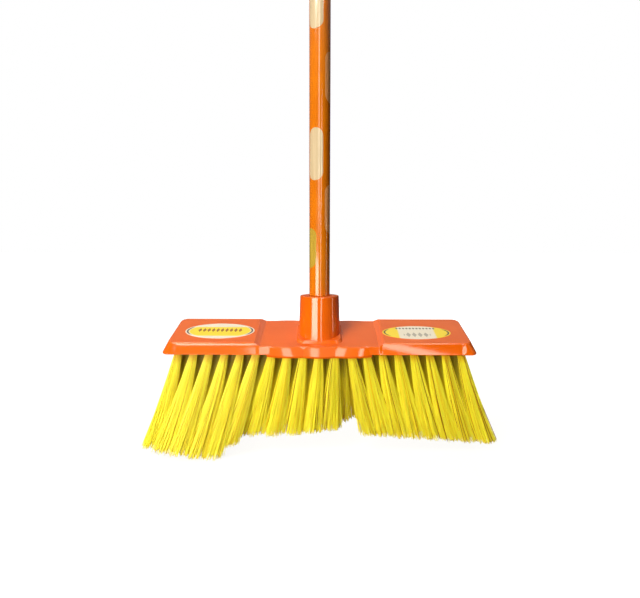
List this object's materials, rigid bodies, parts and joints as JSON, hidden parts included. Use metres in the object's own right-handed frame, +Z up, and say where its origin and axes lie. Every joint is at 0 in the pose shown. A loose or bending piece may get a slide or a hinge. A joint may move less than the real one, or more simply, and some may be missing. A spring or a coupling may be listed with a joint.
{
  "type": "broom",
  "caption": "Broom with a moulded plastic head, leaning rows of anchored bristle tufts, and a straight round handle that screws into a conical socket.",
  "frame": {"origin": "on the handle's axis, at the lower end of the handle's film, just above the mouth of the socket", "axes": "+Z up along the handle, +X along the head to the right in the picture, -Y to the front, where the labels are read"},
  "size_m": [0.383, 0.1068, 1.374],
  "materials": {
    "stick_wood": "bare, turned",
    "handle_film": "glossy printed film, orange with cream oval spots",
    "tip_plastic": "moulded",
    "cap_plastic": "moulded",
    "head_plastic": "glossy, moulded",
    "block_plastic": "moulded",
    "anchor_steel": "bare strip",
    "bristle": "extruded filaments",
    "label": "printed sticker"
  },
  "bodies": {
    "handle_core": {"handle_core": "stick_wood"},
    "handle": {"handle_sleeve": "handle_film", "threaded_tip": "tip_plastic", "hanger_cap": "cap_plastic"},
    "head": {"head_cover": "head_plastic", "tuft_block": "block_plastic", "tuft_anchors": "anchor_steel", "tufts_01": "bristle", "tufts_02": "bristle", "tufts_03": "bristle", "tufts_04": "bristle", "tufts_05": "bristle", "tufts_06": "bristle", "tufts_07": "bristle", "tufts_08": "bristle", "tufts_09": "bristle", "tufts_10": "bristle", "tufts_11": "bristle", "tufts_12": "bristle", "tufts_13": "bristle", "tufts_14": "bristle", "tufts_15": "bristle", "tufts_16": "bristle", "tufts_17": "bristle", "tufts_18": "bristle", "tufts_19": "bristle", "label_left": "label", "label_right": "label"}
  },
  "joints": [
    {"name": "handle_turn", "type": "hinge", "parent": "handle_core", "child": "handle", "pos_m": [0, 0, 0], "axis": [0, 0, 1], "range_deg": [0, 1890]},
    {"name": "head_drop", "type": "slide", "parent": "handle_core", "child": "head", "axis": [0, 0, -1], "range_m": [0, 0.02363]}
  ],
  "couplings": [
    {"joint": "handle_turn", "follows": "head_drop", "rad_per_m": 1396.3}
  ]
}
